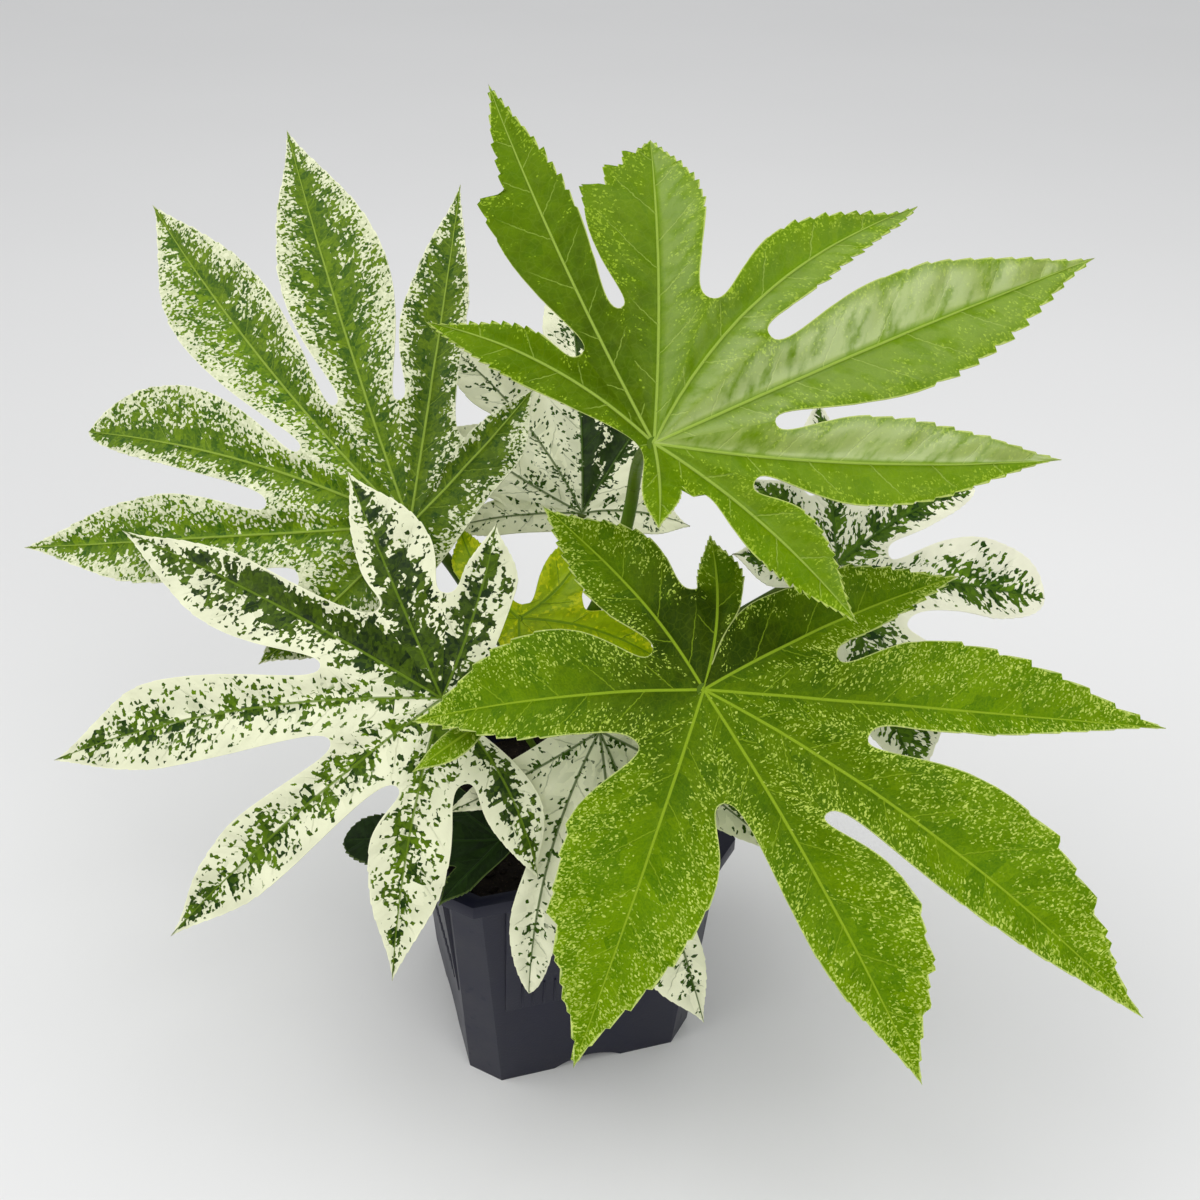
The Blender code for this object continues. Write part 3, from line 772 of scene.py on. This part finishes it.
class LobeShape:
    """Places the points of one lobe on its blade and gives what the finish reads there."""

    def __init__(self, form: LeafForm, index: int) -> None:
        """Sets up the lobe's edges.

        Args:
            form: The leaf.
            index: Which lobe of it.
        """
        self.form = form
        self.lobe = form.lobes[index]
        before = form.lobes[index - 1]
        after = form.lobes[(index + 1) % len(form.lobes)]
        self.beside = (
            {"dusk": after.dusk[1], "sheen": after.sheen[1]},
            {"dusk": before.dusk[0], "sheen": before.sheen[0]},
        )
        self.left = Margin(form, self.lobe, self.lobe.sinus, Hand.LEFT)
        self.right = Margin(form, self.lobe, before.sinus, Hand.RIGHT)
        mean = (self.left.sinus + self.right.sinus) * 0.5
        self.shoulder = max(mean.dot(self.left.along), 0.12 * self.left.reach)
        self.rows = BASE_ROWS + SHOULDER_ROWS + TIP_ROWS
        self.seed = 7.3 * (index + 1) + form.joint[0] * 0.37 + form.joint[2] * 0.11

    def sway_at(self, along: float) -> float:
        """Gives how far the midrib bows to the left at a distance along."""
        part = min(1.0, max(0.0, along / self.left.reach))
        return self.lobe.sway * MM * 4 * part * (1 - part)

    def rib(self, row: int) -> Vector:
        """Gives the midrib's point on a row.

        Args:
            row: The row.

        Returns:
            The point, in the blade's plane.
        """
        reach = self.left.reach
        belly = reach * self.lobe.belly
        if row <= BASE_ROWS:
            along = self.shoulder * row / BASE_ROWS
        elif row <= BASE_ROWS + SHOULDER_ROWS:
            along = self.shoulder + (belly - self.shoulder) * (row - BASE_ROWS) / SHOULDER_ROWS
        else:
            along = belly + (reach - belly) * (row - BASE_ROWS - SHOULDER_ROWS) / TIP_ROWS
        return self.left.along * along + self.left.across * self.sway_at(along)

    def point(self, share: float, hand: Hand, row: int) -> tuple[Vector, dict[str, float]]:
        """Gives a point of the blade and its values for the finish.

        Args:
            share: How far from the midrib to the edge, from 0 to 1.
            hand: Which side of the midrib.
            row: The row.

        Returns:
            The point in the leaf's axes, and the values by name.
        """
        margin = self.left if hand == Hand.LEFT else self.right
        side = 0 if hand == Hand.LEFT else 1
        centre = self.rib(row)
        border = margin.read(row)
        plane = centre.lerp(border, share) + margin.tooth(row) * smooth(share, 0.6, 1.0)
        past = max(0.0, (row - BASE_ROWS) / (self.rows - BASE_ROWS))
        along = plane.dot(self.left.along)
        across = plane.dot(self.left.across) - self.sway_at(along)
        width = (border - centre).length
        ramp = (1.0 - math.cos(math.pi * share)) / 2
        lifted = RIDGE * min(plane.length, margin.sinus_reach)
        blend = smooth(past, 0.0, 0.35)
        height = -self.form.droop * plane.length_squared + self.lobe.lift * MM * past * past
        height += ramp * (lifted * (1 - blend) + self.form.fold * width * blend)
        phase = (along / MM - abs(across) / MM * VEIN_SLOPE) / VEIN_SPACING
        phase += 0.5 if across > 0 else 0.0
        swell = abs(math.sin(math.pi * (phase - 0.5))) - 0.5
        height += QUILT * swell * math.sin(math.pi * share) * smooth(past, 0.0, 0.2)
        swing = math.sin(2 * math.pi * (along / WAVE_LENGTH) + self.seed + 2.4 * hand.value)
        height += self.form.wave * MM * swing * share ** 2 * smooth(past, 0.05, 0.4) * (1 - past ** 3)
        dent = Vector((plane.x * PUCKER_SCALE, plane.y * PUCKER_SCALE, self.form.joint[0]))
        height += PUCKER * noise.noise(dent)
        inner = share < 1 or row < BASE_ROWS
        spread = 0.25 + 0.75 * min(1.0, row / BASE_ROWS) ** 1.5
        shared = 0.5 * share * (1.0 - smooth(row, BASE_ROWS, BASE_ROWS + 8))
        values = {
            "along": along / MM,
            "across": across / MM,
            "share": share * spread,
            "edge": (margin.read(max(row, BASE_ROWS)) - plane).length / MM if inner else 0.0,
            "past": past,
            "seed": self.seed,
        }
        for name, beside in self.beside[side].items():
            values[name] = getattr(self.lobe, name)[side] * (1.0 - shared) + beside * shared
        return Vector((plane.x, plane.y, height)), values


def add_tube(bm: bmesh.types.BMesh, sides: int, rings: int, place: Callable[[int, float], Vector]) -> set:
    """Adds one closed tube, ring by ring.

    Args:
        bm: The mesh that it is added to.
        sides: How many sides it has.
        rings: How many rings it has.
        place: Gives a vertex's place from the number of its ring and its angle.

    Returns:
        The tube's faces.
    """
    ring = bmesh.ops.create_circle(bm, segments=sides, radius=1.0, cap_ends=True)["verts"]
    angles = [math.atan2(vertex.co.y, vertex.co.x) for vertex in ring]
    rim = list({edge for vertex in ring for edge in vertex.link_edges})
    faces = {face for vertex in ring for face in vertex.link_faces}
    for index in range(rings):
        if index > 0:
            grown = bmesh.ops.extrude_edge_only(bm, edges=rim)["geom"]
            rim = only(grown, bmesh.types.BMEdge)
            fresh = set(only(grown, bmesh.types.BMVert))
            faces |= {face for vertex in fresh for face in vertex.link_faces}
            joined = [{edge.other_vert(vertex) for edge in vertex.link_edges} & fresh for vertex in ring]
            ring = [others.pop() for others in joined]
        for vertex, angle in zip(ring, angles):
            vertex.co = place(index, angle)
    return faces | set(bmesh.ops.contextual_create(bm, geom=rim)["faces"])


VALUE_NAMES = ("along", "across", "share", "edge", "past", "seed", "dusk", "sheen", "under", "stalk")


@dataclass
class Leaf:
    """Builds one leaf piece from its form."""

    form: LeafForm
    petiole_sides: int = 14
    petiole_steps: int = 26
    petiole_pull: float = 0.35
    rib_above: float = 0.35
    rib_below: float = 0.9

    def axes(self) -> Matrix:
        """Gives the matrix that takes the leaf's own axes to the scene.

        Returns:
            The matrix.
        """
        out = facing(*self.form.facing)
        down = Vector((0, 0, -1))
        down = (down - out * down.dot(out)).normalized()
        turned = Matrix((down, out.cross(down), out)).transposed().to_4x4()
        return Matrix.Translation(Vector(self.form.joint) * MM) @ turned

    def add_lobe(self, bm: bmesh.types.BMesh, shape: LobeShape, layers: dict) -> None:
        """Lays one lobe's grid on the blade.

        Args:
            bm: The blade.
            shape: The lobe.
            layers: The loop layers by name.
        """
        halves = len(HALF_SHARES) - 1
        made = bmesh.ops.create_grid(bm, x_segments=2 * halves, y_segments=shape.rows, size=1.0)
        values = {}
        faces = {face for vertex in made["verts"] for face in vertex.link_faces}
        for vertex in made["verts"]:
            row = round((vertex.co.y + 1.0) * 0.5 * shape.rows)
            column = round(vertex.co.x * halves)
            hand = Hand.LEFT if column > 0 else Hand.RIGHT
            vertex.co, values[vertex] = shape.point(HALF_SHARES[abs(column)], hand, row)
        for face in faces:
            for loop in face.loops:
                for name, value in values[loop.vert].items():
                    loop[layers[name]] = value

    def blade(self) -> bmesh.types.BMesh:
        """Builds the blade as one closed shell.

        Returns:
            The blade, in the leaf's own axes.
        """
        bm = bmesh.new()
        layers = {name: bm.loops.layers.float.new(name) for name in VALUE_NAMES}
        for index in range(len(self.form.lobes)):
            self.add_lobe(bm, LobeShape(self.form, index), layers)
        bmesh.ops.remove_doubles(bm, verts=bm.verts[:], dist=WELD)
        bmesh.ops.recalc_face_normals(bm, faces=bm.faces[:])
        lower = bm.faces[:]
        rise = {}
        for face in lower:
            for loop in face.loops:
                wide = max(0.25, 1.25 - loop[layers["past"]])
                ridge = math.exp(-(loop[layers["across"]] / (0.7 * wide)) ** 2) * wide
                rise[loop.vert] = max(ridge, rise.get(loop.vert, 0.0))
        grown = bmesh.ops.extrude_face_region(bm, geom=lower)
        upper = only(grown["geom"], bmesh.types.BMFace)
        tops = {vertex for face in upper for vertex in face.verts}
        below = {tuple(round(c, 9) for c in vertex.co): value for vertex, value in rise.items()}
        for vertex in tops:
            ridge = below[tuple(round(c, 9) for c in vertex.co)]
            vertex.co.z += BLADE / 2 + self.rib_above * MM * ridge
        for vertex, ridge in rise.items():
            vertex.co.z -= BLADE / 2 + self.rib_below * MM * ridge
        skins = set(lower) | set(upper)
        for face in bm.faces:
            if face in skins:
                for loop in face.loops:
                    loop[layers["under"]] = 0.0 if loop.vert in tops else 1.0
            else:
                for loop in face.loops:
                    loop[layers["edge"]] = 0.0
        return bm

    def petiole_path(self) -> list[tuple[Vector, float]]:
        """Gives the petiole's points and radii, from inside the stem to the blade.

        Returns:
            Points in the scene's axes with a radius each.
        """
        form = self.form
        out = self.axes().to_3x3() @ Vector((0, 0, 1))
        joint = Vector(form.joint) * MM
        foot = Vector((0, 0, form.foot_level * MM))
        away = Vector((joint.x, joint.y, 0)).normalized()
        span = (joint - foot).length
        leave = foot + (away * 0.75 + Vector((0, 0, 0.65))).normalized() * span * self.petiole_pull
        arrive = joint - (out * 0.8 + away * 0.3).normalized() * span * self.petiole_pull
        if form.route:
            leave, arrive = (Vector(control) * MM for control in form.route)
        end = joint + out * (0.5 * MM)
        points = []
        for step in range(self.petiole_steps + 1):
            part = step / self.petiole_steps
            swell = 1.0 + 0.5 * (1 - smooth(part, 0.0, 0.18)) - 0.12 * smooth(part, 0.3, 0.9)
            points.append((curve((foot, leave, arrive, end), part), form.thick * MM * swell))
        return points

    def add_petiole(self, bm: bmesh.types.BMesh) -> None:
        """Adds the petiole as one closed tube.

        Args:
            bm: The leaf, in the scene's axes.
        """
        layers = {name: bm.loops.layers.float[name] for name in VALUE_NAMES}
        points = self.petiole_path()
        across = (points[1][0] - points[0][0]).orthogonal().normalized()
        rings = []
        for index, (centre, radius) in enumerate(points):
            before = points[max(index - 1, 0)][0]
            after = points[min(index + 1, len(points) - 1)][0]
            heading = (after - before).normalized()
            across = (across - heading * across.dot(heading)).normalized()
            rings.append((centre, radius, across, heading.cross(across)))

        def place(index: int, angle: float) -> Vector:
            """Gives a point of the tube from its ring and its angle."""
            middle, reach, first, second = rings[index]
            return middle + (first * math.cos(angle) + second * math.sin(angle)) * reach

        for face in add_tube(bm, self.petiole_sides, len(rings), place):
            for loop in face.loops:
                loop[layers["stalk"]] = 1.0
                loop[layers["edge"]] = 9.0
                loop[layers["across"]] = 5.0
                loop[layers["along"]] = loop.vert.co.z / MM
                loop[layers["share"]] = 0.5

    def build(self) -> bpy.types.Object:
        """Builds the piece and gives it its finish.

        Returns:
            The piece.
        """
        bm = self.blade()
        bmesh.ops.transform(bm, matrix=self.axes(), verts=bm.verts[:])
        self.add_petiole(bm)
        return piece(f"{self.form.name}_looks", bm, self.form.finish.build(), 50)


def piece(name: str, bm: bmesh.types.BMesh, finish: bpy.types.Material, crease: float) -> bpy.types.Object:
    """Turns a bmesh into a smooth shaded object.

    Args:
        name: The object's name.
        bm: Its mesh, which is freed.
        finish: Its material.
        crease: Edges sharper than this angle in degrees stay sharp.

    Returns:
        The object.
    """
    bmesh.ops.recalc_face_normals(bm, faces=bm.faces[:])
    mesh = bpy.data.meshes.new(name)
    bm.to_mesh(mesh)
    bm.free()
    mesh.materials.append(finish)
    mesh.shade_smooth()
    mesh.set_sharp_from_angle(angle=math.radians(crease))
    made = bpy.data.objects.new(name, mesh)
    bpy.context.collection.objects.link(made)
    return made


def soften(bm: bmesh.types.BMesh, edges: list, offset: float) -> None:
    """Rounds edges off."""
    bmesh.ops.bevel(bm, geom=edges, offset=offset, segments=2, profile=0.5, affect="EDGES",
                    material=-1, clamp_overlap=True)


def seat(made: bpy.types.Object, node: str) -> None:
    """Makes a piece stand for a node of the frame: attaches it to the root body and hides the node.

    Args:
        made: The piece.
        node: The node's name.
    """
    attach(made, BODY)
    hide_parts(node)
    LOG.info("%s stands for %s with %d faces", made.name, node, len(made.data.polygons))


@dataclass
class Pot:
    """The square pot: the frame's own form with softened edges, and fine ribs on its side pads."""

    weld: float = 0.01 * MM
    softness: float = 0.5 * MM
    rib_softness: float = 0.15 * MM
    ribs: int = 14
    rib_gap: float = 4.0 * MM
    rib_width: float = 0.8 * MM
    rib_proud: float = 0.35 * MM
    rib_foot: float = 41 * MM
    rib_length: float = 12 * MM
    pad_foot: float = 40 * MM
    pad_face: float = 46.3 * MM
    pad_slope: float = 0.095

    def build(self) -> bpy.types.Object:
        """Builds the pot from the frame's node.

        Returns:
            The piece.
        """
        bm = bmesh.new()
        bm.from_mesh(bpy.data.objects["pot"].data)
        bmesh.ops.remove_doubles(bm, verts=bm.verts[:], dist=self.weld)
        bmesh.ops.dissolve_limit(bm, angle_limit=math.radians(2), verts=bm.verts[:], edges=bm.edges[:])
        hard = [edge for edge in bm.edges if edge.calc_face_angle(0.0) > math.radians(30)]
        soften(bm, hard, self.softness)
        for side in range(4):
            for index in range(self.ribs):
                self.add_rib(bm, side, (index - (self.ribs - 1) / 2) * self.rib_gap)
        return piece("pot_looks", bm, PLASTIC.build(), 35)

    def add_rib(self, bm: bmesh.types.BMesh, side: int, shift: float) -> None:
        """Adds one upright rib near the foot of a side's pad.

        Args:
            bm: The pot.
            side: Which side, counted in quarter turns.
            shift: How far it stands from the pad's middle.
        """
        level = self.rib_foot + self.rib_length / 2
        face = self.pad_face + self.pad_slope * (level - self.pad_foot)
        turn = Matrix.Rotation(math.radians(90 * side), 4, "Z")
        lean = Matrix.Rotation(math.atan(self.pad_slope), 4, "X")
        size = Matrix.Diagonal((self.rib_width, 2 * self.rib_proud, self.rib_length, 1.0))
        place = turn @ Matrix.Translation((shift, -face, level)) @ lean @ size
        made = bmesh.ops.create_cube(bm, size=1.0, matrix=place)
        soften(bm, list({edge for vertex in made["verts"] for edge in vertex.link_edges}), self.rib_softness)


@dataclass
class Soil:
    """The upper layer of the potting soil: a rough surface with crumbs on it, and a hidden foot."""

    crumbs: int = 420
    seed: int = 11
    cells: int = 70
    roughness_height: float = 1.5 * MM
    sunk: float = 1.2 * MM
    side_gap: float = 0.5 * MM
    corner_gap: float = 1.0 * MM
    corner: float = 8 * MM
    foot_level: float = 60 * MM
    foot_share: float = 0.95
    crumb_sizes: tuple[float, float] = (0.6, 2.0)
    crumb_gap: float = 4 * MM
    crumb_corner: float = 14 * MM
    stem_room: float = 7 * MM

    def build(self) -> bpy.types.Object:
        """Builds the layer at the top of the frame's own block.

        Returns:
            The piece.
        """
        low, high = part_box("soil")
        bm = bmesh.new()
        half = (high.x - low.x) / 2
        level = high.z - self.sunk
        bmesh.ops.create_grid(bm, x_segments=self.cells, y_segments=self.cells, size=half - self.side_gap)
        cut = half - self.corner_gap
        for vertex in bm.verts:
            spare = abs(vertex.co.x) + abs(vertex.co.y) - 2 * cut + self.corner
            if spare > 0:
                vertex.co.x -= math.copysign(spare / 2, vertex.co.x)
                vertex.co.y -= math.copysign(spare / 2, vertex.co.y)
            coarse = noise.noise(vertex.co * 90.0)
            fine = noise.noise(vertex.co * 420.0)
            vertex.co.z = level + self.roughness_height * (coarse * 0.7 + fine * 0.5)
        grown = bmesh.ops.extrude_face_region(bm, geom=bm.faces[:])
        for vertex in only(grown["geom"], bmesh.types.BMVert):
            vertex.co.x *= self.foot_share
            vertex.co.y *= self.foot_share
            vertex.co.z = low.z + self.foot_level
        draw = random.Random(self.seed)
        for _ in range(self.crumbs):
            size = draw.uniform(*self.crumb_sizes) * MM
            x, y = (draw.uniform(-half + self.crumb_gap, half - self.crumb_gap) for _ in range(2))
            if abs(x) + abs(y) < 2 * half - self.crumb_corner and math.hypot(x, y) > self.stem_room:
                self.add_crumb(bm, Vector((x, y, level + size * 0.3)), size, draw)
        return piece("soil_looks", bm, DAMP_SOIL.build(), 40)

    @staticmethod
    def add_crumb(bm: bmesh.types.BMesh, centre: Vector, size: float, draw: random.Random) -> None:
        """Adds one lump of soil.

        Args:
            bm: The soil.
            centre: Where it lies.
            size: Its radius.
            draw: The seeded source of its shape.
        """
        sizes = [draw.uniform(*limits) for limits in ((0.7, 1.4), (0.7, 1.4), (0.5, 0.9))]
        stretch = Matrix.Diagonal((*sizes, 1.0))
        turn = Matrix.Rotation(draw.uniform(0, math.tau), 4, "Z")
        made = bmesh.ops.create_icosphere(bm, subdivisions=1, radius=size,
                                          matrix=Matrix.Translation(centre) @ turn @ stretch)
        for vertex in made["verts"]:
            vertex.co += (vertex.co - centre) * draw.uniform(-0.25, 0.25)


@dataclass
class Stem:
    """The short green woody stem with the scars of older leaves."""

    sides: int = 28
    levels: int = 90
    taper: float = 0.27
    dome_start: float = 0.93
    scar_height: float = 0.5 * MM
    scar_pitch: float = 7.5 * MM
    bark_height: float = 0.15 * MM

    def build(self) -> bpy.types.Object:
        """Builds the stem to the height and the foot of the frame's own solid.

        Returns:
            The piece.
        """
        low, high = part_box("stem")

        def place(index: int, angle: float) -> Vector:
            """Gives a point of the bark from its ring and its angle."""
            part = index / self.levels
            return self.surface(angle, low.z + (high.z - low.z) * part, part, (high.x - low.x) / 2)

        bm = bmesh.new()
        add_tube(bm, self.sides, self.levels + 1, place)
        return piece("stem_looks", bm, BARK.build(), 60)

    def surface(self, angle: float, level: float, part: float, foot_radius: float) -> Vector:
        """Gives a point of the bark.

        Args:
            angle: The turn round the stem, in radians.
            level: The height.
            part: How far up, from 0 to 1.
            foot_radius: The radius at the foot.

        Returns:
            The point.
        """
        dome = math.sqrt(max(0.02, 1.0 - smooth(part, self.dome_start, 1.0)))
        radius = foot_radius * (1.0 - self.taper * part) * dome - self.scar_height
        scar = smooth(math.sin(level / self.scar_pitch * math.tau + angle * 0.5), 0.75, 1.0)
        radius += self.scar_height * scar * dome
        radius += self.bark_height * noise.noise(Vector((math.cos(angle), math.sin(angle), level * 260)))
        return Vector((radius * math.cos(angle), radius * math.sin(angle), level))


@dataclass(frozen=True)
class SoftBox:
    """A square light: where it hangs, what it faces, its side in metres and its power in watts."""

    name: str
    place: Place
    aim: Place
    size: float
    power: float


SOFT_BOXES = (
    SoftBox("overhead", (0.15, 0.05, 1.5), (0.05, -0.05, 0.1), 1.2, 6.5),
    SoftBox("window", (0.16, -0.95, 1.06), (0.06, -0.05, 0.28), 0.7, 4.6),
)


@dataclass
class Studio:
    """The plain pale floor, the soft lights and the camera at the photograph's angle."""

    azimuth: float = -17.13
    elevation: float = 32.37
    roll: float = 1.34
    distance: float = 0.476
    target: Place = (0.014, 0.0, 0.179)
    lens: float = 42.0
    floor_half: float = 6.0
    floor_tones: tuple[Colour, Colour] = ((0.80, 0.80, 0.795), (0.83, 0.83, 0.825))
    sun_place: Place = (-1.0, 0.05, 1.1)
    sun_power: float = 1.35
    sun_spread: float = 50
    sky: Colour = (0.82, 0.83, 0.85)
    sky_power: float = 0.46

    def build_floor(self) -> bpy.types.Object:
        """Lays the floor.

        Returns:
            The floor.
        """
        bm = bmesh.new()
        bmesh.ops.create_grid(bm, x_segments=4, y_segments=4, size=self.floor_half)
        g = Graph("pale studio floor")
        colour = g.mix(g.noise(g.place(), 3.0), *self.floor_tones)
        finish = g.finish(Base_Color=colour, Roughness=0.75, Specular_IOR_Level=0.2)
        made = piece("floor", bm, finish, 30)
        return made

    @staticmethod
    def hang(data: bpy.types.Light, place: Place, aim: Place) -> None:
        """Puts a light in its place.

        Args:
            data: The light.
            place: Where it hangs.
            aim: What it faces.
        """
        made = bpy.data.objects.new(data.name, data)
        made.location = place
        made.rotation_euler = (Vector(aim) - Vector(place)).to_track_quat("-Z", "Y").to_euler()
        bpy.context.collection.objects.link(made)

    def build_lights(self) -> None:
        """Hangs the lights and sets the pale surroundings."""
        daylight = bpy.data.lights.new("daylight", "SUN")
        daylight.energy = self.sun_power
        daylight.angle = math.radians(self.sun_spread)
        self.hang(daylight, self.sun_place, (0, 0, 0))
        for box in SOFT_BOXES:
            data = bpy.data.lights.new(box.name, "AREA")
            data.shape = "SQUARE"
            data.size = box.size
            data.energy = box.power
            self.hang(data, box.place, box.aim)
        world = bpy.data.worlds.new("pale surroundings")
        world.use_nodes = True
        background = world.node_tree.nodes["Background"]
        background.inputs["Color"].default_value = (*self.sky, 1.0)
        background.inputs["Strength"].default_value = self.sky_power
        bpy.context.scene.world = world
        bpy.context.scene.view_settings.view_transform = "Standard"

    def build_camera(self) -> None:
        """Sets the camera up."""
        roll = math.radians(self.roll)
        back = facing(self.azimuth, self.elevation)
        right = (-back).cross(Vector((0, 0, 1))).normalized()
        up = right.cross(-back)
        turned = Matrix((right * math.cos(roll) + up * math.sin(roll),
                         up * math.cos(roll) - right * math.sin(roll), back)).transposed()
        data = bpy.data.cameras.new("camera")
        data.sensor_width = 36.0
        data.lens = self.lens
        data.clip_start = 0.01
        made = bpy.data.objects.new("camera", data)
        made.matrix_world = Matrix.Translation(Vector(self.target) + back * self.distance) @ turned.to_4x4()
        bpy.context.collection.objects.link(made)
        bpy.context.scene.camera = made


def main() -> None:
    """Loads the frame, builds every piece on it and sets up the studio."""
    logging.basicConfig(level=logging.INFO, format="%(message)s")
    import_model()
    seat(Pot().build(), "pot")
    seat(Soil().build(), "soil")
    seat(Stem().build(), "stem")
    for form in LEAVES:
        seat(Leaf(form).build(), form.name)
    studio = Studio()
    studio.build_floor()
    studio.build_lights()
    studio.build_camera()


if __name__ == "__main__":
    main()
